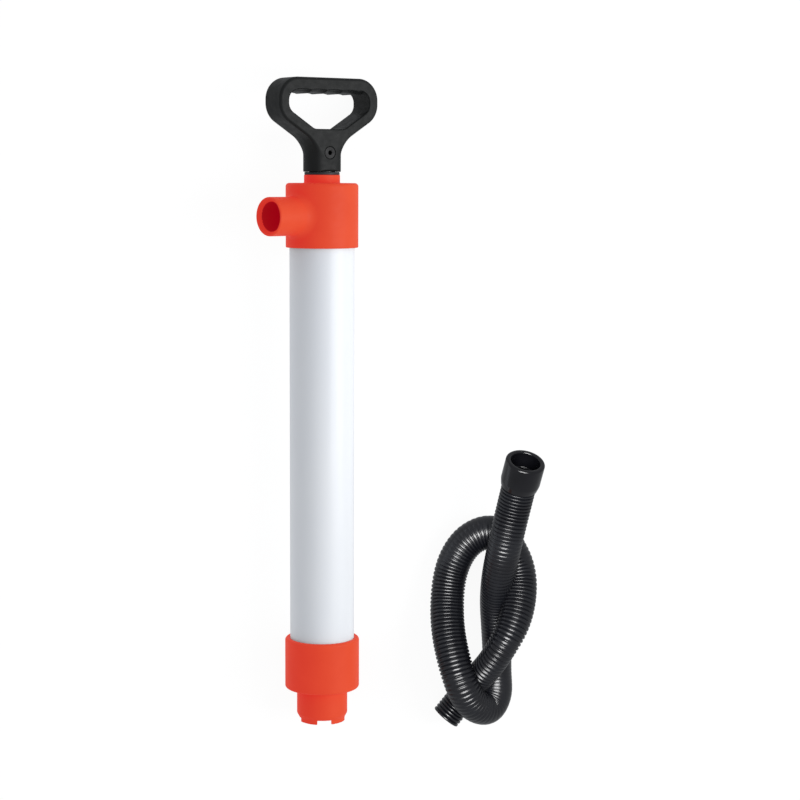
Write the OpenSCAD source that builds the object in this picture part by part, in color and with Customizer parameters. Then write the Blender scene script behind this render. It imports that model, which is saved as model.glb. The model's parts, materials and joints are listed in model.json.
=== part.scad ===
// Hand bilge pump, lying on a flat surface beside its loose corrugated hose.
// The pump axis runs along +Y from the notched foot (Y = 0) to the D handle. +Z is up.

/* [Barrel] */
// Outside diameter of the plastic pipe that forms the barrel
barrel_od = 48.3; // [48:0.1:49]
// Wall of the barrel
barrel_wall = 2.4; // [2:0.1:2.8]

/* [Foot] */
// Outside diameter of the foot cap
foot_od = 56; // [54:0.1:60]
// Outside diameter of the inlet nozzle
nozzle_od = 38.2; // [37:0.1:40]
// Bore of the inlet nozzle
nozzle_id = 32.4; // [31:0.1:33]
// Length of the inlet nozzle below the foot cap
nozzle_len = 27; // [20:0.5:30]
// Length of the foot cap
foot_len = 38.5; // [35:0.5:42]
// Depth of the four notches in the nozzle's end
notch_depth = 4.6; // [3:0.1:6]
// Width of each notch
notch_w = 10.5; // [8:0.1:12]

/* [Head] */
// Outside diameter of the head
head_od = 53.8; // [53:0.1:58]
// Length of the head
head_len = 47.5; // [45:0.5:52]
// Outside diameter of the neck that guides the rod
neck_od = 26.6; // [26:0.1:30]
// Height of the neck above the head
neck_len = 6; // [5:0.1:9]
// Outside diameter of the outlet spout
spout_od = 28.4; // [26:0.1:29]
// Bore of the outlet spout
spout_id = 21.6; // [18:0.1:22]
// Reach of the spout's mouth from the pump axis
spout_reach = 52; // [46:0.5:60]
// Turn of the spout from straight up, towards -X
spout_turn = 46; // [0:1:60]

/* [Rod and piston] */
// Diameter of the tubular rod
rod_od = 19; // [18:0.1:20]
// Wall of the rod
rod_wall = 2; // [1.5:0.1:2.5]
// Travel of the handle, rod and piston, which sets the barrel's length
stroke = 310; // [200:1:400]
// Radial clearance of a part that turns or slides on another
run_gap = 0.06; // [0.02:0.01:0.1]
// Lift of the two rubber valve flaps
flap_lift = 3; // [2:0.1:3]

/* [Handle] */
// Width of the D handle
grip_w = 84.4; // [78:0.1:90]
// Depth of the D handle, front to back
grip_t = 23; // [20:0.5:26]
// Diameter of the handle's socket, before its flats
socket_od = 27.8; // [27:0.1:30]
// Turn of the handle about the pump axis, right end down
handle_turn = 34; // [0:1:40]

/* [Hose] */
// Outside diameter over the hose's ribs
hose_od = 25.8; // [23:0.1:26.2]
// Inside diameter of the soft cuff's mouth, which stretches over the spout
cuff_id = 22; // [21:0.1:24]
// Outside diameter of the cuff
cuff_od = 29.6; // [29.4:0.1:32]
// Length of the cuff
cuff_len = 23; // [20:0.5:28]

/* [Hidden] */
$fn = 96;

orange = [0.90, 0.30, 0.16];
black = [0.16, 0.16, 0.17];
rubber = [0.10, 0.10, 0.11];
steel = [0.72, 0.73, 0.75];
ivory = [0.93, 0.94, 0.96];

// Radii
barrel_r = barrel_od / 2;
bore_r = barrel_r - barrel_wall;
socket_gap = 0.05;
rod_r = rod_od / 2;
chamber_r = bore_r - 1.3;
bush_r = 12;

// Places along the pump axis, from the foot's end
shoulder_y = nozzle_len;
foot_top_y = nozzle_len + foot_len;
ledge_y = shoulder_y + 6.5;
screen_y = shoulder_y - 2;
screen_t = 2.5;
screen_r = nozzle_id / 2 + 1;
seat_t = 4;
gasket_t = 2;
barrel_y0 = ledge_y + seat_t + gasket_t;

// Foot valve
flap_t = 1.6;
flap_gap = 0.05;
foot_flap_y = ledge_y + seat_t + flap_gap;
pin_r = 2.4;
pin_head_y = foot_flap_y + flap_t + flap_lift + flap_gap;

// Piston, with the handle pushed right down
bolt_r = 3;
bolt_head_y = pin_head_y + 5;
washer_y = bolt_head_y + 4;
washer_t = 1.2;
play = 0.2;
piston_y = washer_y + washer_t + play;
piston_t = 8;
hub_r = 5;
piston_flap_y = piston_y + piston_t + flap_gap;
retainer_y = piston_flap_y + flap_t + flap_lift + flap_gap;
retainer_t = 3.9;
plug_y = retainer_y + retainer_t + play;
rod_y0 = plug_y + 2.8;

// Head and handle: the piston's rim stops just short of the head's inner shoulder
end_gap = 1.4;
barrel_y1 = piston_y + piston_t + stroke + end_gap;
head_y0 = barrel_y1 - 12;
head_y1 = head_y0 + head_len;
neck_y1 = head_y1 + neck_len;
roof_y = head_y1 - 6;
spout_y = head_y0 + 23.3;
spout_root = head_od / 2 + 2;
flare_len = 11;
seal_y0 = neck_y1 - 3.5;
seal_lip = 2.1;
grip_y0 = neck_y1 + seal_lip + 0.4;
web_y = grip_y0 + 30.8;
grip_y1 = grip_y0 + 68;
screw_y = grip_y0 + 13.6;
screw_seat = grip_t / 2 - 1.3;
screw_r = 2.5;
rod_y1 = web_y - 1.8;

// The pump rests on its foot and on the lower corner of the handle, so the surface under it
// drops slightly from foot to handle.
rest_slope = 0.01;
function rest_z(y) = -foot_od / 2 - rest_slope * (y - 30);

// Builds along the pump axis: the children's Z becomes +Y
module along() {
  rotate([-90, 0, 0]) children();
}

// A disc or drum on the pump axis from y0 to y1
module drum(r, y0, y1) {
  along() translate([0, 0, y0]) cylinder(r = r, h = y1 - y0);
}

// A ring on the pump axis
module ring(r_out, r_in, y0, y1) {
  difference() {
    drum(r_out, y0, y1);
    drum(r_in, y0 - 1, y1 + 1);
  }
}

// A turned piece on the pump axis from its outline of [radius, y] points
module turned(outline) {
  along() rotate_extrude() polygon(outline);
}

// Children at n equal places round the pump axis, at radius r
module around(n, r, start = 0) {
  for (i = [0 : n - 1]) rotate([0, start + i * 360 / n, 0]) translate([0, 0, r]) children();
}

// A round hole along the pump axis, from y0 to y1, for use inside around()
module axial_hole(r, y0, y1) {
  translate([0, y0, 0]) rotate([-90, 0, 0]) cylinder(r = r, h = y1 - y0, $fn = 48);
}

module barrel() {
  color(ivory) ring(barrel_r, bore_r, barrel_y0, barrel_y1);
}

// Foot cap: notched inlet nozzle, ledge for the valve seat, socket for the barrel
module foot() {
  r = foot_od / 2;
  n = nozzle_od / 2;
  color(orange) difference() {
    turned([[nozzle_id / 2, 0], [n - 1.8, 0], [n - 1.5, notch_depth], [n, notch_depth + 3],
            [n, shoulder_y], [r - 3, shoulder_y],
            [r - 0.8, shoulder_y + 1.2], [r, shoulder_y + 3.5], [r, foot_top_y - 1.6],
            [r - 1.6, foot_top_y], [barrel_r + socket_gap, foot_top_y],
            [barrel_r + socket_gap, ledge_y], [screen_r, ledge_y], [screen_r, screen_y],
            [nozzle_id / 2, screen_y]]);
    for (a = [8, 98])
      rotate([0, a, 0]) translate([-notch_w / 2, -1, -r]) cube([notch_w, notch_depth + 1, 2 * r]);
  }
}

// Coarse screen that sits on a step above the nozzle's bore
module inlet_strainer() {
  y1 = screen_y + screen_t;
  color(black) difference() {
    drum(screen_r, screen_y, y1);
    axial_hole(2.2, screen_y - 1, y1 + 1);
    around(6, 5.8) axial_hole(2.2, screen_y - 1, y1 + 1);
    around(12, 11.6) axial_hole(2.2, screen_y - 1, y1 + 1);
  }
}

// Perforated plate that the foot flap closes
module foot_valve_seat() {
  color(black) difference() {
    drum(barrel_r, ledge_y, ledge_y + seat_t);
    drum(pin_r, ledge_y - 1, ledge_y + seat_t + 1);
    around(6, 10) axial_hole(3.8, ledge_y - 1, ledge_y + seat_t + 1);
  }
}

// Flat rubber ring between the valve seat and the barrel's end
module foot_gasket() {
  color(rubber) ring(barrel_r, 20.2, ledge_y + seat_t, barrel_y0);
}

// Rubber disc that lifts to let water in
module foot_valve_flap() {
  color(rubber) ring(17, pin_r + run_gap, foot_flap_y, foot_flap_y + flap_t);
}

// Headed pin that guides the foot flap and stops its lift
module foot_valve_pin() {
  color(black) turned([[0, ledge_y], [pin_r, ledge_y], [pin_r, pin_head_y], [6, pin_head_y],
                       [5.2, pin_head_y + 2], [0, pin_head_y + 2]]);
}

// Head: socket for the barrel, outlet chamber, spout, and neck for the rod
module head() {
  r = head_od / 2;
  n = neck_od / 2;
  s = barrel_r + socket_gap;
  color(orange) difference() {
    union() {
      turned([[0, head_y0], [r - 0.6, head_y0], [r, head_y0 + 0.6], [r, head_y1 - 2.4],
              [r - 0.7, head_y1 - 0.7], [r - 2.4, head_y1], [n, head_y1], [n, neck_y1], [0, neck_y1]]);
      translate([0, spout_y, 0]) rotate([0, -spout_turn, 0]) {
        cylinder(d = spout_od, h = spout_reach - 1.2);
        cylinder(d = spout_od - 2.4, h = spout_reach);
        translate([0, 0, spout_root - flare_len])
          cylinder(d1 = spout_od + 9, d2 = spout_od, h = flare_len);
      }
    }
    drum(s, head_y0 - 1, barrel_y1);
    drum(chamber_r, barrel_y1 - 1, roof_y);
    drum(bush_r, roof_y - 1, neck_y1 + 1);
    translate([0, spout_y, 0]) rotate([0, -spout_turn, 0])
      cylinder(d = spout_id, h = spout_reach + 1);
  }
}

// Plain bush that guides the rod through the neck
module rod_bush() {
  color(ivory) difference() {
    union() {
      drum(bush_r, roof_y, seal_y0);
      drum(15, roof_y - 1.8, roof_y);
    }
    drum(rod_r + run_gap, roof_y - 3, seal_y0 + 1);
  }
}

// Rubber wiper in the top of the neck, with a lip that the handle rests near
module rod_seal() {
  color(rubber) difference() {
    union() {
      drum(bush_r, seal_y0, neck_y1);
      drum(neck_od / 2 - 0.3, neck_y1, neck_y1 + seal_lip);
    }
    drum(rod_r + run_gap, seal_y0 - 1, neck_y1 + seal_lip + 1);
  }
}

// Tubular rod, with the screw's pilot hole near its top
module rod() {
  color(ivory) difference() {
    ring(rod_r, rod_r - rod_wall, rod_y0, rod_y1);
    at_screw() cylinder(r = screw_r, h = rod_r + 1, $fn = 32);
  }
}

// Plug in the rod's lower end that takes the piston bolt
module rod_plug() {
  color(black) difference() {
    union() {
      drum(rod_r, plug_y, rod_y0);
      drum(rod_r - rod_wall, rod_y0, rod_y0 + 20);
    }
    drum(bolt_r, plug_y - 1, plug_y + 16);
  }
}

// Shoulder bolt on which the piston can turn
module piston_bolt() {
  color(steel) {
    difference() {
      drum(5.6, bolt_head_y, washer_y);
      along() translate([0, 0, bolt_head_y - 1]) cylinder(r = 2.9, h = 3.4, $fn = 6);
    }
    drum(bolt_r, washer_y, plug_y + 15.5);
  }
}

module piston_washer() {
  color(steel) ring(8.5, bolt_r, washer_y, washer_y + washer_t);
}

// Lower half of the piston: perforated plate with a hub and a groove for the cup
module piston_seat() {
  y1 = piston_y + piston_t;
  color(orange) difference() {
    turned([[0, piston_y], [bore_r - 1.1, piston_y], [bore_r - 0.5, piston_y + 0.6],
            [bore_r - 0.5, piston_y + 1.6], [18, piston_y + 1.6], [18, y1 - 1.4],
            [bore_r - 0.5, y1 - 1.4], [bore_r - 0.5, y1], [hub_r, y1],
            [hub_r, plug_y - play], [0, plug_y - play]]);
    drum(bolt_r + run_gap, piston_y - 1, plug_y + 1);
    around(6, 11.2) axial_hole(3.6, piston_y - 1, y1 + 1);
  }
}

// Soft cup ring that wipes the barrel
module piston_cup() {
  y0 = piston_y + 1.6;
  y1 = piston_y + piston_t - 1.4;
  lip_r = bore_r - 0.12;
  color(rubber) turned([[18, y0], [lip_r - 0.6, y0], [lip_r, y1 - 1.2], [lip_r, y1],
                        [lip_r - 1, y1], [lip_r - 1.7, y0 + 2], [18, y0 + 2]]);
}

// Rubber disc that lifts off the piston's holes on the down stroke
module piston_flap() {
  color(rubber) ring(16.5, hub_r + run_gap, piston_flap_y, piston_flap_y + flap_t);
}

// Four-armed stop pressed on the hub above the flap
module piston_retainer() {
  y1 = retainer_y + retainer_t;
  color(orange) difference() {
    drum(14, retainer_y, y1);
    drum(hub_r, retainer_y - 1, y1 + 1);
    around(4, 12.5, 45) axial_hole(5.2, retainer_y - 1, y1 + 1);
  }
}

// Turns the children with the handle about the pump axis
module with_handle() {
  rotate([0, handle_turn, 0]) children();
}

// The handle screw's axis, from the pump axis outwards
module at_screw() {
  with_handle() translate([0, screw_y, 0]) children();
}

// Outer outline of the D, drawn in from its edge by inset
module grip_outline(inset) {
  hull() {
    for (s = [-1, 1], drop = [0, 2.8])
      translate([s * (grip_w / 2 - 16), grip_y1 - 16 - drop]) circle(r = 16 - inset, $fn = 32);
    translate([0, web_y + 1.7]) circle(r = 16 - inset, $fn = 32);
  }
}

// Finger opening of the D
module grip_opening() {
  hull() {
    for (s = [-1, 1]) {
      translate([s * (grip_w / 2 - 16), grip_y1 - 18.6]) circle(r = 8.2, $fn = 32);
      translate([s * 11, web_y + 1]) circle(r = 1, $fn = 32);
    }
  }
}

// D handle with its socket for the rod: one thickness all over, front and back
module handle() {
  edge = 2.8;
  depth = grip_t / 2;
  r = socket_od / 2;
  flat = r - 1.6;
  color(black) difference() {
    intersection() {
      union() {
        drum(r, grip_y0, web_y);
        with_handle() {
          translate([0, 0, edge - depth])
            linear_extrude(grip_t - 2 * edge) grip_outline(0);
          translate([0, 0, -depth])
            linear_extrude(grip_t) grip_outline(edge * 0.5);
          translate([0, 0, 1 - depth])
            linear_extrude(grip_t - 2)
              polygon([[-flat, web_y - 18.3], [flat, web_y - 18.3], [flat + 0.8, web_y - 12],
                       [flat + 3.6, web_y - 8], [flat + 7.5, web_y - 4.6],
                       [-flat - 7.5, web_y - 4.6], [-flat - 3.6, web_y - 8],
                       [-flat - 0.8, web_y - 12]]);
        }
      }
      with_handle() translate([-grip_w, grip_y0, -depth]) cube([2 * grip_w, 100, grip_t]);
    }
    with_handle() translate([0, 0, -grip_t]) linear_extrude(2 * grip_t) grip_opening();
    drum(rod_r, grip_y0 - 1, rod_y1);
    at_screw() cylinder(r = screw_r, h = r + 1, $fn = 32);
    at_screw() translate([0, 0, screw_seat]) cylinder(r = 4.6, h = 4);
  }
}

// Self-tapping screw through the socket into the rod
module handle_screw() {
  color(rubber) at_screw() difference() {
    union() {
      translate([0, 0, 5.5]) cylinder(r = screw_r, h = screw_seat - 5.5, $fn = 32);
      translate([0, 0, screw_seat]) cylinder(r = 4.2, h = 1.1);
    }
    translate([0, 0, screw_seat - 3]) cylinder(r = 1.9, h = 5, $fn = 6);
  }
}

// The hose lies in a loose overhand knot. Each point is [x, y, height of the centre line above
// the surface], from the cuff to the plain cut end, and lie_y moves them all along the pump.
cuff_turn = 11.5;
cuff_rise = 26;
cuff_base = [147, 182.5, 47];
lie_y = nozzle_len - 25;
lying = hose_od / 2;
route = [[143.5, 165.5, 42], [140, 149.5, 40], [136.5, 131.5, 36.5], [133.5, 110.5, 27.5],
         [132.7, 89.5, 17], [133, 69.5, lying], [133.5, 49.5, lying], [133.5, 32.5, 13],
         [133, 17, 16], [125.8, 7.3, 23], [114, 14, 34], [105.8, 30, 41], [99.5, 49.5, 37],
         [95.5, 69.5, 27], [95, 89.5, 17], [97.3, 108.5, lying], [102.9, 124, lying],
         [112, 135.5, lying], [124.5, 141.3, lying], [135.5, 138.5, lying], [143, 127.5, 13],
         [148.3, 116, 15], [150.3, 102.5, 20], [148.2, 87, 29], [143.5, 73, 36], [136, 59, 39],
         [127.3, 43.8, 33.5], [117.7, 28.8, 21.5], [106.3, 12, 13], [94.5, -3, lying]];

// Unit vector along the cuff, out of its mouth
cuff_dir = [sin(cuff_turn) * cos(cuff_rise), cos(cuff_turn) * cos(cuff_rise), sin(cuff_rise)];
function on_floor(p) = [p.x, p.y + lie_y, p.z + rest_z(p.y)];
cuff_at = on_floor(cuff_base);
hose_seat = 8;
hose_path = concat([cuff_at + hose_seat * cuff_dir, cuff_at], [for (p = route) on_floor(p)]);

// A point of the smooth curve through the path, at share t of the stretch that starts at point i
function at(i) = hose_path[max(0, min(i, len(hose_path) - 1))];
function smooth(i, t) = 0.5 * (2 * at(i) + t * (at(i + 1) - at(i - 1))
  + t * t * (2 * at(i - 1) - 5 * at(i) + 4 * at(i + 1) - at(i + 2))
  + t * t * t * (3 * at(i) - at(i - 1) - 3 * at(i + 1) + at(i + 2)));

hose_sides = 10;
hose_core_r = hose_od / 2 - 0.85;
hose_line = [for (i = [0 : len(hose_path) - 2], t = [0, 0.5]) smooth(i, t), at(len(hose_path) - 1)];
last = len(hose_line) - 1;
function unit(v) = v / norm(v);
function heading(k) = unit(hose_line[min(k + 1, last)] - hose_line[max(k - 1, 0)]);
function hose_ring(k) = let (d = heading(k), side = unit(cross(d, [0, 0, 1])), up = cross(side, d))
  [for (j = [0 : hose_sides - 1]) let (a = j * 360 / hose_sides)
    hose_line[k] + hose_core_r * (cos(a) * side + sin(a) * up)];

// Plain round body of the hose, without its ribs
module hose() {
  n = hose_sides;
  points = [for (k = [0 : last]) each hose_ring(k)];
  sides = [for (k = [0 : last - 1], j = [0 : n - 1])
    [k * n + j, k * n + (j + 1) % n, (k + 1) * n + (j + 1) % n, (k + 1) * n + j]];
  start = [for (j = [n - 1 : -1 : 0]) j];
  end = [for (j = [0 : n - 1]) last * n + j];
  color(black) polyhedron(points, concat([start], sides, [end]), convexity = 10);
}

// Soft cuff: a thick mouth that stretches over the spout, and a socket for the hose
module hose_cuff() {
  r = cuff_od / 2;
  seat_r = hose_od / 2 + 0.15;
  stop_y = hose_seat + 2;
  color(rubber) translate(cuff_at) rotate([cuff_rise - 90, 0, -cuff_turn]) rotate_extrude()
    polygon([[seat_r, 0], [r - 1, 0], [r - 0.5, 1], [r, 6], [r, cuff_len - 1.2],
             [r - 1.2, cuff_len], [cuff_id / 2, cuff_len], [cuff_id / 2, stop_y], [10, stop_y],
             [10, hose_seat], [seat_r, hose_seat]]);
}

barrel();
head();
foot();
rod_bush();
rod_seal();
foot_valve_seat();
foot_gasket();
foot_valve_flap();
foot_valve_pin();
inlet_strainer();
rod();
rod_plug();
piston_bolt();
piston_washer();
piston_seat();
piston_cup();
piston_flap();
piston_retainer();
handle();
handle_screw();
hose();
hose_cuff();
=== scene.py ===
"""Hand bilge pump with its loose ribbed hose: the visual model, built round the CAD frame."""

import json
import math

import bpy
import numpy as np
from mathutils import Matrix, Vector


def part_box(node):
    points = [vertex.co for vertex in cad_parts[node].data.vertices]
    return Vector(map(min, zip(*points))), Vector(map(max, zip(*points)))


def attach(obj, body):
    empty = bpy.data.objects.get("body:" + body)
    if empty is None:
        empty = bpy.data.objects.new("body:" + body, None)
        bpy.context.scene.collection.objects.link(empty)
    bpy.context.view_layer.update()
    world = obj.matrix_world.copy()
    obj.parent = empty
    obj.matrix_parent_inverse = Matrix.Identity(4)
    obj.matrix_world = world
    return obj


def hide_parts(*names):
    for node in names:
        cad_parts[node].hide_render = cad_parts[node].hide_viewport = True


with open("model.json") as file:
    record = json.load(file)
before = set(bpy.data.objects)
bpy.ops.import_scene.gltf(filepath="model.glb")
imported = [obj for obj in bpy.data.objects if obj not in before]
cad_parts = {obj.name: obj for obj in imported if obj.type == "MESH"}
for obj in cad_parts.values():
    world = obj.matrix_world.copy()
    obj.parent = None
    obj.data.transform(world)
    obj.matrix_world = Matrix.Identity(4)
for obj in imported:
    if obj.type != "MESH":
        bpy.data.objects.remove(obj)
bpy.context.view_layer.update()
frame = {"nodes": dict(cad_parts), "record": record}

MM = 0.001  # metres in a millimetre: lengths below are in millimetres until a mesh is made


# ---------------------------------------------------- sizes, from the frame where it has them

def node_box(node):
    """A node's box at rest, in millimetres."""
    lo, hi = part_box(node)
    return np.array(lo) / MM, np.array(hi) / MM


def axis_span(node):
    """Where a node starts and ends along the pump axis."""
    lo, hi = node_box(node)
    return lo[1], hi[1]


def node_radius(node):
    """Outer radius of a round node on the pump axis."""
    lo, hi = node_box(node)
    return (hi[0] - lo[0]) / 2


BARREL_R = node_radius("barrel")
BARREL_Y0, BARREL_Y1 = axis_span("barrel")
BARREL_WALL = 2.4
CAP_BORE_R = BARREL_R + 0.05  # the sockets of head and foot, a little wider than the barrel
FOOT_R = node_radius("foot")
FOOT_Y0, FOOT_Y1 = axis_span("foot")
SHOULDER_Y = FOOT_Y0 + 27  # where the foot widens from its nozzle
HEAD_Y0, NECK_Y1 = axis_span("head")
HEAD_R = -node_box("head")[0][2]
HEAD_Y1 = NECK_Y1 - 6  # the neck stands on it
NECK_R = 13.3
NECK_BORE_R = 12
GRIP_Y0, GRIP_Y1 = axis_span("handle")
ROD_R = node_radius("rod")
SEAL_R = node_radius("rod_seal")
SEAL_Y0, SEAL_Y1 = axis_span("rod_seal")
SOCKET_Y0 = SEAL_Y1 + 0.1  # the lower end of the handle, just clear of the seal
SPOUT = next(m for m in frame["record"]["mounts"] if m["name"] == "spout")
SPOUT_AXIS = np.array(SPOUT["axis"])
SPOUT_Y = SPOUT["pos_m"][1] / MM
SPOUT_R = 14.2
SPOUT_BORE_R = 10.8
SPOUT_REACH = 52  # from the pump axis to the mouth
LEAD_IN = 3.2  # how deep the mouth is coned
LEAD_IN_FLARE = 0.72
NOZZLE_R = 19.1
NOZZLE_BORE_R = 16.2
TIP_LENGTH = 4  # the nozzle's tip is narrower by TIP_STEP, and widens over as much again
TIP_STEP = 1.5
NOTCH_WIDTH = 10.5
NOTCH_DEPTH = 4.6
NOTCH_TURNS = (8, 98)  # each notch runs right across the nozzle
HANDLE_TURN = math.radians(34)
REST_SLOPE = 0.01
REST_Y = 30  # where the surface is the foot's radius below the axis
PAST = 9  # how far a cut runs past the end that it opens


def rest_z(y):
    """Height of the surface that everything lies on, which drops slightly towards the handle."""
    return -FOOT_R - REST_SLOPE * (y - REST_Y)


# ---------------------------------------------------------------- camera, lights and floor

CAMERA_AT = Vector((58.3, 413.5, 1450)) * MM
LOOK_AT = Vector((58.3, 246.4, 0)) * MM
ROLL = math.radians(0.25)
LENS = 87.8
SENSOR_WIDTH = 36
FLOOR_HALF = 100.0  # metres


def add_camera():
    data = bpy.data.cameras.new("camera")
    data.lens = LENS
    data.sensor_width = SENSOR_WIDTH
    data.clip_end = 20
    camera = bpy.data.objects.new("camera", data)
    bpy.context.collection.objects.link(camera)
    camera.location = CAMERA_AT
    sight = LOOK_AT - CAMERA_AT
    camera.rotation_mode = "ZXY"
    camera.rotation_euler = (math.atan2(sight.y, -sight.z), 0, ROLL)
    bpy.context.scene.camera = camera


def add_softbox(name, at, towards, width, height, power):
    """Adds a soft lamp, and returns its settings for what it lights."""
    data = bpy.data.lights.new(name, "AREA")
    data.shape = "RECTANGLE"
    data.size = width
    data.size_y = height
    data.energy = power
    lamp = bpy.data.objects.new(name, data)
    bpy.context.collection.objects.link(lamp)
    lamp.location = at
    lamp.rotation_mode = "QUATERNION"
    lamp.rotation_quaternion = (Vector(towards) - Vector(at)).to_track_quat("-Z", "Y")
    return lamp.light_linking


def add_lights():
    """A key lamp for all but the hose and cuff, which have an overhead lamp of their own. The
    painted glow of the orange pieces falls on those pieces only."""
    world = bpy.data.worlds.new("studio")
    bpy.context.scene.world = world
    world.use_nodes = True
    background = world.node_tree.nodes["Background"]
    background.inputs["Color"].default_value = (0.95, 0.97, 1.0, 1)
    background.inputs["Strength"].default_value = 0.49
    key = add_softbox("key", at=(1.15, 0.27, 0.75), towards=(0, 0.2, 0),
                      width=0.7, height=1.2, power=11.9)
    overhead = add_softbox("overhead", at=(0.06, 0.4, 1.5), towards=(0.12, 0.1, 0),
                           width=1.1, height=0.7, power=66)
    key.receiver_collection = bpy.data.collections.new("lit_by_key")
    overhead.receiver_collection = bpy.data.collections.new("lit_from_overhead")
    for piece in ("ribbed_hose", "cuff_sleeve"):
        key.receiver_collection.objects.link(bpy.data.objects[piece])
        overhead.receiver_collection.objects.link(bpy.data.objects[piece])
    for left_out in key.receiver_collection.collection_objects:
        left_out.light_linking.link_state = "EXCLUDE"
    orange = bpy.data.collections.new("orange_pieces")
    for piece in (bpy.data.objects["head_cap"], bpy.data.objects["foot_cap"]):
        orange.objects.link(piece)
        piece.light_linking.receiver_collection = orange
    bpy.context.scene.view_settings.view_transform = "Standard"


def add_floor():
    """A pale sheet under everything, far larger than the view."""
    half = FLOOR_HALF
    corners = [(-half, -half), (half, -half), (half, half), (-half, half)]
    verts = [(x, y, rest_z(y / MM) * MM) for x, y in corners]
    mesh = bpy.data.meshes.new("floor")
    mesh.from_pydata(verts, [], [(0, 1, 2, 3)])
    floor = bpy.data.objects.new("floor", mesh)
    bpy.context.collection.objects.link(floor)
    material = bpy.data.materials.new("floor_white")
    material.use_nodes = True
    shader = material.node_tree.nodes["Principled BSDF"]
    shader.inputs["Base Color"].default_value = (0.12, 0.12, 0.12, 1)
    shader.inputs["Roughness"].default_value = 0.9
    shader.inputs["Specular IOR Level"].default_value = 0.1
    shader.inputs["Emission Color"].default_value = (1, 1, 1, 1)
    shader.inputs["Emission Strength"].default_value = 0.93
    mesh.materials.append(material)
    floor.visible_glossy = False


# ---------------------------------------------------------------- materials

NOISE_SPAN = (0.3, 0.7)  # noise seldom leaves this range


class Nodes:
    """A small helper that adds nodes to one material and links them."""

    def __init__(self, name):
        self.material = bpy.data.materials.new(name)
        self.material.use_nodes = True
        self.tree = self.material.node_tree
        self.shader = self.tree.nodes["Principled BSDF"]
        self.where = self.add("ShaderNodeTexCoord").outputs["Object"]

    def add(self, kind):
        return self.tree.nodes.new(kind)

    def link(self, a, b):
        self.tree.links.new(a, b)

    def stretched(self, x, y, z):
        """Object coordinates scaled by a factor on each axis."""
        mapping = self.add("ShaderNodeMapping")
        mapping.inputs["Scale"].default_value = (x, y, z)
        self.link(self.where, mapping.inputs["Vector"])
        return mapping.outputs["Vector"]

    def noise(self, per_metre, detail, where=None):
        noise = self.add("ShaderNodeTexNoise")
        noise.inputs["Scale"].default_value = per_metre
        noise.inputs["Detail"].default_value = detail
        self.link(where or self.where, noise.inputs["Vector"])
        return noise.outputs["Fac"]

    def ramp(self, noise, low, high):
        """A colour that runs from low to high with the noise."""
        ramp = self.add("ShaderNodeValToRGB")
        for element, position, colour in zip(ramp.color_ramp.elements, NOISE_SPAN, (low, high)):
            element.position = position
            element.color = (*colour, 1)
        self.link(noise, ramp.inputs["Fac"])
        return ramp.outputs["Color"]

    def spread(self, noise, low, high):
        """A number that runs from low to high with the noise."""
        spread = self.add("ShaderNodeMapRange")
        sockets = ("From Min", "From Max", "To Min", "To Max")
        for socket, number in zip(sockets, (*NOISE_SPAN, low, high)):
            spread.inputs[socket].default_value = number
        self.link(noise, spread.inputs["Value"])
        return spread.outputs["Result"]

    def bumps(self, *layers):
        """Bump layers, each (height, strength, depth in metres), laid one on another."""
        normal = None
        for height, strength, depth in layers:
            bump = self.add("ShaderNodeBump")
            bump.inputs["Strength"].default_value = strength
            bump.inputs["Distance"].default_value = depth
            self.link(height, bump.inputs["Height"])
            if normal:
                self.link(normal, bump.inputs["Normal"])
            normal = bump.outputs["Normal"]
        self.link(normal, self.shader.inputs["Normal"])

    def colour(self, socket):
        self.link(socket, self.shader.inputs["Base Color"])

    def roughness(self, socket):
        self.link(socket, self.shader.inputs["Roughness"])

    def fixed(self, **values):
        """Values that are the same all over, by the shader's own socket names."""
        for key, value in values.items():
            self.shader.inputs[key.replace("_", " ")].default_value = value


def moulded(name, low, high, rough, grain=900, depth=0.00004, **fixed):
    """Moulded plastic: slight cloudiness of colour, a fine skin, and faint flow marks."""
    n = Nodes(name)
    n.colour(n.ramp(n.noise(45, 4), low, high))
    n.roughness(n.spread(n.noise(240, 3), *rough))
    n.bumps((n.noise(60, 2), 0.25, 0.00015), (n.noise(grain, 2), 0.5, depth))
    n.fixed(**fixed)
    return n.material


def extruded(name, low, high, rough, **fixed):
    """Extruded pipe: streaks that run along the pump axis."""
    n = Nodes(name)
    streaks = n.noise(420, 3, n.stretched(1, 0.02, 1))
    n.colour(n.ramp(n.noise(25, 3, n.stretched(1, 0.3, 1)), low, high))
    n.roughness(n.spread(streaks, *rough))
    n.bumps((streaks, 0.3, 0.00003), (n.noise(1800, 2), 0.25, 0.00002))
    n.fixed(**fixed)
    return n.material


def turned_steel(name):
    n = Nodes(name)
    rings = n.noise(2500, 2, n.stretched(0.1, 1, 0.1))
    n.colour(n.ramp(rings, (0.52, 0.53, 0.55), (0.68, 0.69, 0.71)))
    n.roughness(n.spread(rings, 0.22, 0.38))
    n.bumps((rings, 0.3, 0.00003))
    n.fixed(Metallic=1.0)
    return n.material


PAINTED_RED_GLOW = (1.0, 0.0, 0.025, 1)  # painted glow: a red that the orange plastic gives off though it is no lamp, lightening its shaded side

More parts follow.
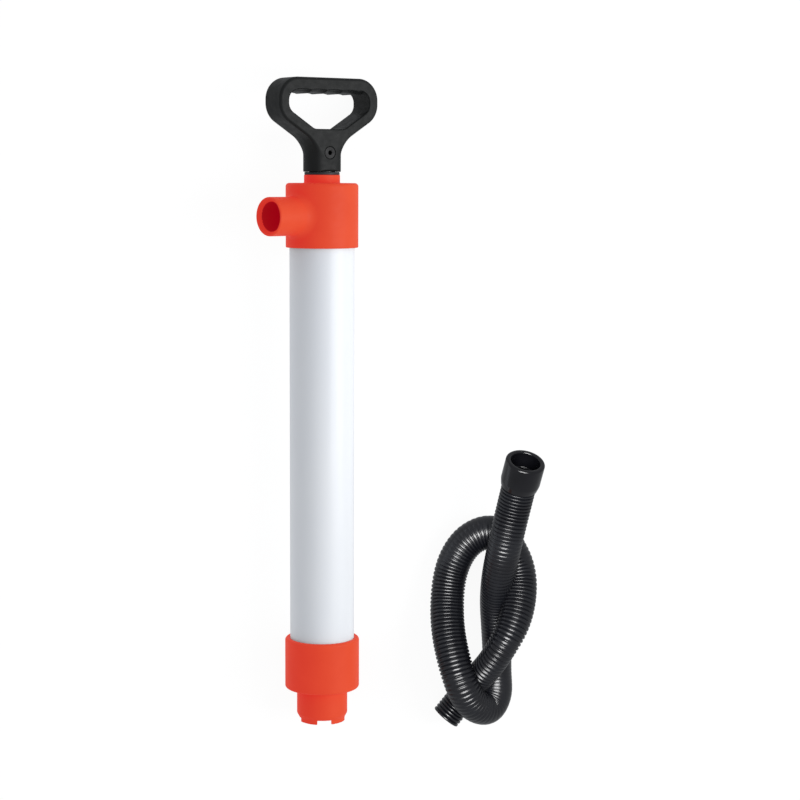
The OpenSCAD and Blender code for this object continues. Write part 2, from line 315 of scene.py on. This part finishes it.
MATERIALS = {
    "white_pipe": extruded(
        "white_pipe", (0.85, 0.88, 0.93), (0.90, 0.925, 0.96), (0.30, 0.42),
        Specular_IOR_Level=0.45, Coat_Weight=0.15, Coat_Roughness=0.25,
    ),
    # orange_plastic carries a painted glow: its red emission lightens the plastic's shaded side
    "orange_plastic": moulded(
        "orange_plastic", (0.29, 0.076, 0.017), (0.33, 0.086, 0.021), (0.40, 0.52),
        Specular_IOR_Level=0.1, Emission_Color=PAINTED_RED_GLOW, Emission_Strength=0.50,
    ),
    # orange_in_shade: painted shade, a darker copy of orange_plastic with less painted glow, for
    # the inside of the spout
    "orange_in_shade": moulded(
        "orange_in_shade", (0.29, 0.020, 0.010), (0.33, 0.026, 0.014), (0.40, 0.52),
        Specular_IOR_Level=0.1, Emission_Color=PAINTED_RED_GLOW, Emission_Strength=0.22,
    ),
    "natural_plastic": extruded(
        "natural_plastic", (0.68, 0.68, 0.66), (0.76, 0.76, 0.74), (0.28, 0.4),
        Specular_IOR_Level=0.45,
    ),
    "black_rubber": moulded(
        "black_rubber", (0.014, 0.015, 0.018), (0.022, 0.023, 0.027), (0.5, 0.65), 2600, 0.00003,
    ),
    "black_plastic": moulded(
        "black_plastic", (0.016, 0.016, 0.017), (0.026, 0.026, 0.028), (0.4, 0.55), 1500,
    ),
    "handle_plastic": moulded(
        "handle_plastic", (0.010, 0.011, 0.011), (0.014, 0.015, 0.015), (0.42, 0.56), 3200, 0.00006,
        Specular_IOR_Level=0.17,
    ),
    "black_screw": moulded(
        "black_screw", (0.007, 0.007, 0.008), (0.011, 0.011, 0.012), (0.35, 0.5), 2000,
        Specular_IOR_Level=0.2,
    ),
    "steel": turned_steel("steel"),
    "hose_plastic": moulded(
        "hose_plastic", (0.002, 0.002, 0.003), (0.004, 0.0045, 0.006), (0.24, 0.34), 1400, 0.00002,
        Specular_IOR_Level=0.4,
    ),
    "cuff_vinyl": moulded(
        "cuff_vinyl", (0.001, 0.001, 0.0015), (0.003, 0.003, 0.004), (0.14, 0.22), 900, 0.00001,
        Specular_IOR_Level=0.35,
    ),
}
SLOT_OF = {s["node"]: s["material_slot"] for s in frame["record"]["subparts"]}
BODY_OF = {n: body for body, nodes in frame["record"]["behaviour"]["bodies"].items() for n in nodes}


def finish_piece(mesh, name, nodes):
    """Makes an object of the mesh that stands for the nodes: their finish, and their body."""
    obj = bpy.data.objects.new(name, mesh)
    bpy.context.collection.objects.link(obj)
    slot = SLOT_OF[nodes[0]]
    mesh.materials.append(MATERIALS[slot])
    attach(obj, BODY_OF[nodes[0]])
    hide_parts(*nodes)
    return obj


def dress_cad_nodes():
    """Gives every CAD node its procedural material."""
    for node, obj in frame["nodes"].items():
        obj.data.materials.clear()
        obj.data.materials.append(MATERIALS[SLOT_OF[node]])


# ---------------------------------------------------------------- meshes from distance fields

def smooth_min(a, b, k):
    """Union of two distances with a fillet of about k."""
    h = np.clip(0.5 + 0.5 * (b - a) / k, 0, 1)
    return b + (a - b) * h - k * h * (1 - h)


def smooth_max(a, b, k):
    """Intersection of two distances with its edge rounded by about k."""
    return -smooth_min(-a, -b, k)


def round_union(a, b, r):
    """Union of two distances with a round fillet of radius r."""
    return np.maximum(r, np.minimum(a, b)) - np.hypot(np.maximum(r - a, 0), np.maximum(r - b, 0))


def round_intersection(a, b, r):
    """Intersection of two distances with its edge rounded to radius r."""
    return np.minimum(-r, np.maximum(a, b)) + np.hypot(np.maximum(r + a, 0), np.maximum(r + b, 0))


def drum(p, radius, y0, y1, low_edge=0.0, high_edge=None):
    """Distance to a drum on the pump axis with rounded rims."""
    high_edge = low_edge if high_edge is None else high_edge
    d = round_intersection(np.hypot(p[0], p[2]) - radius, p[1] - y1, high_edge)
    return round_intersection(d, y0 - p[1], low_edge)


def about_axis(p, start, axis):
    """How far points are along a unit axis from start, and how far off it."""
    q = [p[i] - start[i] for i in range(3)]
    t = sum(q[i] * axis[i] for i in range(3))
    return t, np.sqrt(np.maximum(sum(c * c for c in q) - t * t, 0))


def rod_along(p, start, axis, radius, length, edge=0.0):
    """Distance to a round bar from start along a unit axis, its rims rounded by edge."""
    t, r = about_axis(p, start, axis)
    a = r - radius + edge
    b = np.abs(t - length / 2) - length / 2 + edge
    return np.hypot(np.maximum(a, 0), np.maximum(b, 0)) + np.minimum(np.maximum(a, b), 0) - edge


def cone_along(p, start, axis, radius, at, flare):
    """Distance to a cone about a unit axis: of that radius at one distance along the axis, and
    wider beyond by the flare."""
    t, r = about_axis(p, start, axis)
    return (r - radius - flare * (t - at)) / math.hypot(1, flare)


def outline(x, y, corners):
    """Signed distance to a closed polygon."""
    best = np.full(np.broadcast(x, y).shape, np.inf)
    inside = np.ones_like(best)
    for (ax, ay), (bx, by) in zip(corners, corners[-1:] + corners[:-1]):
        ex, ey = bx - ax, by - ay
        wx, wy = x - ax, y - ay
        share = np.clip((wx * ex + wy * ey) / (ex * ex + ey * ey), 0, 1)
        best = np.minimum(best, (wx - ex * share) ** 2 + (wy - ey * share) ** 2)
        over, under = y >= ay, y < by
        turn = ex * wy > ey * wx
        flip = (over & under & turn) | (~over & ~under & ~turn)
        inside = np.where(flip, -inside, inside)
    return inside * np.sqrt(best)


def field_mesh(name, field, lo, hi, step):
    """A closed quad mesh of the surface where field is 0, by surface nets, with exact normals."""
    lo, hi = np.array(lo, float), np.array(hi, float)
    count = np.ceil((hi - lo) / step).astype(int) + 1
    axes = [lo[i] + step * np.arange(count[i]) for i in range(3)]
    grid = np.meshgrid(*axes, indexing="ij", sparse=True)
    value = field(grid) + np.zeros(count)
    solid = value < 0

    total = np.zeros([*(count - 1), 3])
    hits = np.zeros(count - 1)
    corner = [(i, j, k) for i in (0, 1) for j in (0, 1) for k in (0, 1)]
    window = [slice(o, o + count[i] - 1) for i in range(3) for o in (0, 1)]

    def part(array, offset):
        return array[tuple(window[2 * i + offset[i]] for i in range(3))]

    for axis in range(3):
        for offset in corner:
            if offset[axis]:
                continue
            far = tuple(1 if i == axis else offset[i] for i in range(3))
            a, b = part(value, offset), part(value, far)
            cross = (a < 0) != (b < 0)
            share = np.where(cross, a / np.where(cross, a - b, 1), 0)
            for i in range(3):
                total[..., i] += np.where(cross, offset[i] + (share if i == axis else 0), 0)
            hits += cross
    used = hits > 0
    index = np.full(count - 1, -1)
    index[used] = np.arange(used.sum())
    cell = np.argwhere(used)
    verts = lo + step * (cell + total[used] / hits[used][:, None])

    faces = []
    for axis in range(3):
        u, v = (axis + 1) % 3, (axis + 2) % 3
        near = [slice(1, c - 1) for c in count]
        near[axis] = slice(0, count[axis] - 1)
        far = list(near)
        far[axis] = slice(1, count[axis])
        a, b = solid[tuple(near)], solid[tuple(far)]
        for going, order in ((a & ~b, (0, 1, 2, 3)), (~a & b, (3, 2, 1, 0))):
            at = np.argwhere(going)
            at[:, u] += 1
            at[:, v] += 1
            ring = []
            for du, dv in ((0, 0), (-1, 0), (-1, -1), (0, -1)):
                c = at.copy()
                c[:, u] += du
                c[:, v] += dv
                ring.append(index[c[:, 0], c[:, 1], c[:, 2]])
            faces.append(np.stack([ring[i] for i in order], axis=1))
    faces = np.concatenate(faces)

    def slope(points):
        """The field's gradient, by small steps either way."""
        h = 0.02
        out = np.empty_like(points)
        for i in range(3):
            ahead, behind = points.copy(), points.copy()
            ahead[:, i] += h
            behind[:, i] -= h
            out[:, i] = (field(list(ahead.T)) - field(list(behind.T))) / (2 * h)
        return out

    for _ in range(4):  # steps onto the surface, none longer than half a cell
        grad = slope(verts)
        size = np.maximum((grad**2).sum(1), 0.05)
        move = (field(list(verts.T)) / size)[:, None] * grad
        verts -= np.clip(move, -step / 2, step / 2)
    normals = slope(verts)
    normals /= np.maximum(np.linalg.norm(normals, axis=1), 1e-9)[:, None]
    return mesh_of(name, verts, faces, normals)


def mesh_of(name, verts, faces, normals=None):
    """A smooth-shaded mesh in metres from points in millimetres."""
    mesh = bpy.data.meshes.new(name)
    faces = faces.tolist() if hasattr(faces, "tolist") else faces
    mesh.from_pydata((verts * MM).tolist(), [], faces)
    mesh.polygons.foreach_set("use_smooth", np.ones(len(mesh.polygons), bool))
    mesh.update()
    if normals is not None:
        mesh.normals_split_custom_set_from_vertices(normals.tolist())
    return mesh


# ---------------------------------------------------------------- turned pieces

TURNED_SIDES = 160
ARC_STEPS = 5


def rounded(corners):
    """An outline of (radius, y, fillet) corners with each corner turned into an arc."""
    points = []
    n = len(corners)
    for i, (r, y, fillet) in enumerate(corners):
        here = np.array([r, y], float)
        if not fillet:
            points.append(here)
            continue
        before = np.array(corners[i - 1][:2]) - here
        after = np.array(corners[(i + 1) % n][:2]) - here
        before /= np.linalg.norm(before)
        after /= np.linalg.norm(after)
        half = math.acos(np.clip(before @ after, -1, 1)) / 2
        reach = fillet / math.tan(half)
        centre = here + (before + after) / np.linalg.norm(before + after) * fillet / math.sin(half)
        first, final = here + before * reach - centre, here + after * reach - centre
        sweep = math.atan2(first[0] * final[1] - first[1] * final[0], first @ final)
        for k in range(ARC_STEPS + 1):
            a = sweep * k / ARC_STEPS
            points.append(centre + [first[0] * math.cos(a) - first[1] * math.sin(a),
                                    first[0] * math.sin(a) + first[1] * math.cos(a)])
    return points


def turned_mesh(name, corners, place=None):
    """Turns a closed outline of (radius, y, fillet) corners about the pump axis, or about the Y
    axis of place, a function from points to points."""
    ring = rounded(corners)
    n = len(ring)
    verts, faces = [], []
    for j in range(TURNED_SIDES):
        a = 2 * math.pi * j / TURNED_SIDES
        verts += [(r * math.sin(a), y, r * math.cos(a)) for r, y in ring]
        k = (j + 1) % TURNED_SIDES
        faces += [(j * n + i, k * n + i, k * n + (i + 1) % n, j * n + (i + 1) % n)
                  for i in range(n)]
    verts = np.array(verts)
    if place:
        verts = place(verts)
    mesh = mesh_of(name, verts, faces)
    crease_sharp_edges(mesh)
    return mesh


def crease_sharp_edges(mesh, angle=32):
    """Keeps edges sharper than the angle crisp under smooth shading."""
    mesh.set_sharp_from_angle(angle=math.radians(angle))


def make_barrel():
    bore = BARREL_R - BARREL_WALL
    corners = [(BARREL_R, BARREL_Y0, 0.3), (BARREL_R, BARREL_Y1, 0.3),
               (bore, BARREL_Y1, 0.3), (bore, BARREL_Y0, 0.3)]
    finish_piece(turned_mesh("barrel_pipe", corners), "barrel_pipe", ["barrel"])


def make_rod_seal():
    """The rubber ring that fills the neck's bore round the rod, with a lip that covers the neck."""
    bore = ROD_R + 0.06
    corners = [(bore, SEAL_Y0, 0.2), (NECK_BORE_R, SEAL_Y0, 0.2), (NECK_BORE_R, NECK_Y1, 0),
               (SEAL_R, NECK_Y1, 0.3), (SEAL_R, SEAL_Y1, 0.7), (bore + 1.2, SEAL_Y1, 0.4),
               (bore, SEAL_Y1 - 1, 0.3)]
    finish_piece(turned_mesh("rod_wiper", corners), "rod_wiper", ["rod_seal"])


# ---------------------------------------------------------------- foot, head and handle

GRID_PAD = 1.5  # how far a field's grid reaches past its piece


def field_piece(name, node, field, lo, hi, fine):
    """Makes the piece for a node from a distance field, inside the box from lo to hi."""
    step = fine
    mesh = field_mesh(name, field, lo - GRID_PAD, hi + GRID_PAD, step)
    finish_piece(mesh, name, [node])
    return mesh


def foot_field(p):
    """The foot: a cup for the barrel's end, over a nozzle with two notches across its tip."""
    y = p[1]
    ledge = SHOULDER_Y + 6.5
    body = drum(p, FOOT_R, SHOULDER_Y, FOOT_Y1, 1.8, 2.1)
    share = np.clip((y - FOOT_Y0 - TIP_LENGTH) / TIP_LENGTH, 0, 1)
    narrower = TIP_STEP * (1 - share**2 * (3 - 2 * share))
    nozzle = drum(p, NOZZLE_R, FOOT_Y0, SHOULDER_Y + 6, 0.7) + narrower
    d = smooth_min(body, nozzle, 0.9)
    d = smooth_max(d, FOOT_Y0 - y, 0.8)
    bore = drum(p, NOZZLE_BORE_R, FOOT_Y0 - PAST, SHOULDER_Y - 2)
    valve_room = drum(p, NOZZLE_BORE_R + 1, SHOULDER_Y - 2, ledge + 1)
    socket = drum(p, CAP_BORE_R, ledge, FOOT_Y1 + PAST)
    d = smooth_max(d, -bore, 0.6)
    d = np.maximum(d, -valve_room)
    d = smooth_max(d, -socket, 0.6)
    for turn in NOTCH_TURNS:
        a = math.radians(turn)
        across = p[0] * math.cos(a) - p[2] * math.sin(a)
        notch = np.maximum(np.abs(across) - NOTCH_WIDTH / 2, y - (FOOT_Y0 + NOTCH_DEPTH))
        d = smooth_max(d, -notch, 0.7)
    return d


def make_foot():
    lo = np.array([-FOOT_R, FOOT_Y0, -FOOT_R])
    hi = np.array([FOOT_R, FOOT_Y1, FOOT_R])
    field_piece("foot_cap", "foot", foot_field, lo, hi, 0.55)


def head_field(p):
    """The head: a cup over the barrel's end, with a neck on top and a spout to one side."""
    middle = (0, SPOUT_Y, 0)
    shell = drum(p, HEAD_R, HEAD_Y0, HEAD_Y1, 0.7, 2.6)
    neck = drum(p, NECK_R, HEAD_Y1 - 4, NECK_Y1, 0.5)
    spout = rod_along(p, middle, SPOUT_AXIS, SPOUT_R, SPOUT_REACH, 1.3)
    d = round_union(shell, spout, 4)
    d = smooth_min(d, neck, 0.8)
    socket = drum(p, CAP_BORE_R, HEAD_Y0 - PAST, BARREL_Y1)
    chamber = drum(p, BARREL_R - 3.7, BARREL_Y1 - 1, HEAD_Y1 - 6, 1)
    neck_bore = drum(p, NECK_BORE_R, HEAD_Y1 - 8, NECK_Y1 + 5)
    d = smooth_max(d, -socket, 0.5)
    d = np.maximum(d, -chamber)
    d = np.maximum(d, -neck_bore)
    bore = rod_along(p, middle, SPOUT_AXIS, SPOUT_BORE_R, SPOUT_REACH + PAST)
    lead_in = cone_along(p, middle, SPOUT_AXIS, SPOUT_BORE_R, SPOUT_REACH - LEAD_IN,
                         LEAD_IN_FLARE)
    return smooth_max(d, -np.minimum(bore, lead_in), 0.5)


def make_head():
    """The head, with painted shade inside the spout: the bore's faces take a darker copy of the
    orange, with less painted glow.
    """
    mesh = field_piece("head_cap", "head", head_field, *node_box("head"), 0.55)
    mesh.materials.append(MATERIALS["orange_in_shade"])
    centres = np.empty(3 * len(mesh.polygons))
    mesh.polygons.foreach_get("center", centres)
    off_centre = centres.reshape(-1, 3) / MM - (0, SPOUT_Y, 0)
    along = off_centre @ SPOUT_AXIS
    off_axis = off_centre - np.outer(along, SPOUT_AXIS)
    # faces inside the spout's bore get the painted shade
    painted_shade_faces = np.linalg.norm(off_axis, axis=1) < SPOUT_BORE_R + 0.1
    painted_shade_faces &= along > HEAD_R - 12
    mesh.polygons.foreach_set("material_index", painted_shade_faces.astype(int))


def mirrored(half):
    """A closed outline from its right half, listed from the top down."""
    return half + [(-x, y) for x, y in reversed(half)]


GRIP_END_X = 26.2  # the grip's rounded ends are centred here
GRIP_END_R = 16
OPENING_R = 8.2
HALF_THICK = 11.5
COLLAR_R = 13.9  # the socket that takes the rod
FINGER_PITCH = 13.4
SCREW_Y = GRIP_Y0 + 13.6
SCREW_HOLE_R = 2.5
RECESS_R = 4.6
RECESS_FLOOR = 10.2  # above the pump axis


def handle_field(p):
    """The D handle: w across it, t through it, with scallops for the fingers under its bar."""
    c, s = math.cos(HANDLE_TURN), math.sin(HANDLE_TURN)
    w = p[0] * c - p[2] * s
    t = p[0] * s + p[2] * c
    y = p[1]
    top = GRIP_Y1
    web = GRIP_Y0 + 30.8

    root = top - 35.5
    arms = [(GRIP_END_X, top - 18.8), (0.1, root)]
    outer = outline(w, y, mirrored([(GRIP_END_X, top - GRIP_END_R), *arms])) - GRIP_END_R
    inner = outline(w, y, mirrored([(GRIP_END_X, top - 17.1), *arms])) - OPENING_R
    inner = round_intersection(inner, web - y, 1)
    front = np.clip((t - 3) / 8.5, 0, 1) ** 2
    fingers = np.abs(np.sin(np.pi * (w + 2.1) / FINGER_PITCH)) ** 0.7
    under_bar = top - 11.6 + fingers * (0.9 + 0.7 * front) + 2.2 * front
    inner = round_intersection(inner, y - under_bar, 0.8)

    d = round_union(outer, drum(p, COLLAR_R, SOCKET_Y0, root, 0.5), 8)
    d = round_intersection(d, np.abs(t) - HALF_THICK, 2.2)
    d = round_intersection(d, -inner, 1)
    d = np.maximum(d, -drum(p, ROD_R, GRIP_Y0 - 5, web - 1.8, 0.3))
    d = np.maximum(d, SOCKET_Y0 - y)
    screw_at = (0, SCREW_Y, 0)
    axis = (s, 0, c)
    start = [screw_at[i] + axis[i] * RECESS_FLOOR for i in range(3)]
    d = smooth_max(d, -rod_along(p, start, axis, RECESS_R, PAST), 0.4)
    return np.maximum(d, -rod_along(p, screw_at, axis, SCREW_HOLE_R, 14))


def make_handle():
    field_piece("d_handle", "handle", handle_field, *node_box("handle"), 0.5)


# ---------------------------------------------------------------- hose and cuff

CUFF_TURN = math.radians(11.5)
CUFF_RISE = math.radians(26)
CUFF_BASE = (147, 182.5, 47)
LIE_Y = 2
CUFF_LEN = 23
CUFF_R = 14.8
CUFF_BORE_R = 11
HOSE_SEAT = 8
HOSE_R = 12.9
RIB_PITCH = 2.9
RIB_DEPTH = 1.3
HOSE_WALL = 0.9
LYING = HOSE_R

# The hose's route, as (x, y, height of the centre line above the surface). LIE_Y is added to y.
ROUTE = [(143.5, 165.5, 42), (140, 149.5, 40), (136.5, 131.5, 36.5), (133.5, 110.5, 27.5),
         (132.7, 89.5, 17), (133, 69.5, LYING), (133.5, 49.5, LYING), (133.5, 32.5, 13),
         (133, 17, 16), (125.8, 7.3, 23), (114, 14, 34), (105.8, 30, 41), (99.5, 49.5, 37),
         (95.5, 69.5, 27), (95, 89.5, 17), (97.3, 108.5, LYING), (102.9, 124, LYING),
         (112, 135.5, LYING), (124.5, 141.3, LYING), (135.5, 138.5, LYING), (143, 127.5, 13),
         (148.3, 116, 15), (150.3, 102.5, 20), (148.2, 87, 29), (143.5, 73, 36), (136, 59, 39),
         (127.3, 43.8, 33.5), (117.7, 28.8, 21.5), (106.3, 12, 13), (94.5, -3, LYING)]

# How far the knot pulls the ribs flat: depth left at some points of the route
FLATTENED = {1: 0.8, 2: 0.3, 3: 0.14, 4: 0.12, 5: 0.12, 6: 0.12, 7: 0.1, 8: 0.1, 9: 0.16,
             10: 0.4, 11: 0.8, 14: 0.8, 15: 0.65, 16: 0.5, 17: 0.45, 18: 0.4, 19: 0.35,
             20: 0.35, 21: 0.5, 22: 0.8}

# How far the knot squeezes the hose sideways: width left at some points of the route
SQUEEZED = {5: 0.93, 6: 0.87, 7: 0.88, 8: 0.95, 24: 0.95, 25: 0.88, 26: 0.86, 27: 0.86, 28: 0.86,
            29: 0.86}

CUFF_DIR = np.array([math.sin(CUFF_TURN) * math.cos(CUFF_RISE),
                     math.cos(CUFF_TURN) * math.cos(CUFF_RISE), math.sin(CUFF_RISE)])


def on_floor(point):
    """A point of the route in the pump's frame."""
    x, y, height = point
    return np.array([x, y + LIE_Y, height + rest_z(y)])


CUFF_AT = on_floor(CUFF_BASE)


def through(points, per_stretch=24):
    """Points of a smooth curve through the given ones."""
    line = []
    n = len(points)
    for i in range(n - 1):
        a, b, c, d = (points[max(0, min(j, n - 1))] for j in (i - 1, i, i + 1, i + 2))
        for k in range(per_stretch):
            t = k / per_stretch
            line.append(0.5 * (2 * b + t * (c - a) + t * t * (2 * a - 5 * b + 4 * c - d)
                               + t**3 * (3 * b - a - 3 * c + d)))
    line.append(points[-1])
    return np.array(line)


def evenly(line, step):
    """The line resampled at equal steps, and its length. Columns after the third come along."""
    along = np.concatenate([[0], np.cumsum(np.linalg.norm(np.diff(line[:, :3], axis=0), axis=1))])
    count = round(along[-1] / step)
    places = np.linspace(0, along[-1], count + 1)
    columns = [np.interp(places, along, line[:, i]) for i in range(line.shape[1])]
    return np.stack(columns, axis=1), along[-1]


def relaxed(line, passes):
    """Takes the last unevenness out of a finely sampled line, with its ends held."""
    for _ in range(passes):
        line[1:-1] = 0.5 * line[1:-1] + 0.25 * (line[:-2] + line[2:])
    return line


def frames_along(line):
    """Unit heading, sideways and upwards directions at each point."""
    heading = np.gradient(line, axis=0)
    heading /= np.linalg.norm(heading, axis=1)[:, None]
    side = np.cross(heading, (0, 0, 1))
    side /= np.linalg.norm(side, axis=1)[:, None]
    return heading, side, np.cross(side, heading)


def tube_rings(line, width, radii, sides):
    """One ring of points round each point of the line, of radii given for each ring or each point,
    and drawn in sideways to the width."""
    _, side, up = frames_along(line)
    turn = 2 * np.pi * np.arange(sides) / sides
    ring = (np.cos(turn)[None, :, None] * (width[:, None] * side)[:, None, :]
            + np.sin(turn)[None, :, None] * up[:, None, :])
    return line[:, None, :] + ring * radii[..., None]


def rib_radii(line, ribs, step, per_rib, sides):
    """Radius at each point of each ring: ribs that fade where a bend stretches the wall, and by
    the share of their depth given for each ring."""
    heading, side, up = frames_along(line)
    bend = np.gradient(heading, axis=0) / step
    blur = np.ones(6 * per_rib + 1) / (6 * per_rib + 1)
    bend = np.stack([np.convolve(bend[:, i], blur, mode="same") for i in range(3)], axis=1)
    turn = 2 * np.pi * np.arange(sides) / sides
    stretch = -HOSE_R * (np.outer((bend * side).sum(1), np.cos(turn))
                         + np.outer((bend * up).sum(1), np.sin(turn)))
    depth = RIB_DEPTH * ribs[:, None] * np.clip(1 - stretch, 0.1, 1.1)
    groove = (0.5 - 0.5 * np.cos(2 * np.pi * np.arange(len(line)) / per_rib)) ** 3
    return HOSE_R - depth * groove[:, None]


def tube_faces(rings, sides, closed):
    """Quads between neighbouring rings; closed joins the last ring to the first."""
    k = np.arange(rings if closed else rings - 1)[:, None]
    j = np.arange(sides)[None, :]
    after, turn = (k + 1) % rings, (j + 1) % sides
    quads = [k * sides + j, k * sides + turn, after * sides + turn, after * sides + j]
    return np.stack([np.broadcast_to(q, (len(k), sides)).ravel() for q in quads], axis=1)


def make_hose(cuff):
    """A ribbed tube with a wall: ribs outside, smooth inside, both ends cut square."""
    points = [CUFF_AT + HOSE_SEAT * CUFF_DIR, CUFF_AT] + [on_floor(p) for p in ROUTE]
    points = [np.append(p, [table.get(i - 2, 1) for table in (SQUEEZED, FLATTENED)])
              for i, p in enumerate(points)]
    per_rib = 10
    sides = 64
    step = RIB_PITCH / per_rib
    path, length = evenly(relaxed(through(points), passes=60), step)
    line, width, ribs = path[:, :3], path[:, 3], path[:, 4]
    inner_r = np.full((len(line), 1), HOSE_R - RIB_DEPTH - HOSE_WALL)
    outside = tube_rings(line, width, rib_radii(line, ribs, step, per_rib, sides), sides)
    inside = tube_rings(line, width, inner_r, sides)[::-per_rib]
    rings = np.concatenate([outside, inside])
    faces = tube_faces(len(rings), sides, closed=True)
    mesh = mesh_of("ribbed_hose", rings.reshape(-1, 3), faces)
    crease_sharp_edges(mesh, angle=60)
    finish_piece(mesh, "ribbed_hose", ["hose"])


def beside_cuff(points):
    """Moves points from the pump axis's frame to the cuff's, which starts where the hose does."""
    side = np.cross(CUFF_DIR, (0, 0, 1))
    side /= np.linalg.norm(side)
    up = np.cross(side, CUFF_DIR)
    return CUFF_AT + points[:, 0:1] * side + points[:, 1:2] * CUFF_DIR + points[:, 2:3] * up


def make_cuff():
    """A soft sleeve with a thick rounded mouth, over the hose's end."""
    seat_r = HOSE_R + 0.15
    seat = HOSE_SEAT + 0.1
    ledge_r = 10.1
    ledge = HOSE_SEAT + 2
    corners = [(seat_r, 0, 0.2), (CUFF_R - 1, 0, 0.6), (CUFF_R, 5, 6), (CUFF_R, CUFF_LEN, 1.6),
               (CUFF_BORE_R, CUFF_LEN, 1.2), (CUFF_BORE_R, ledge, 0.5), (ledge_r, ledge, 0.2),
               (ledge_r, seat, 0.2), (seat_r, seat, 0.2)]
    mesh = turned_mesh("cuff_sleeve", corners, beside_cuff)
    return finish_piece(mesh, "cuff_sleeve", ["hose_cuff"])


add_camera()
make_hose(make_cuff())
add_floor()
dress_cad_nodes()
make_barrel()
make_rod_seal()
make_foot()
make_head()
make_handle()
add_lights()
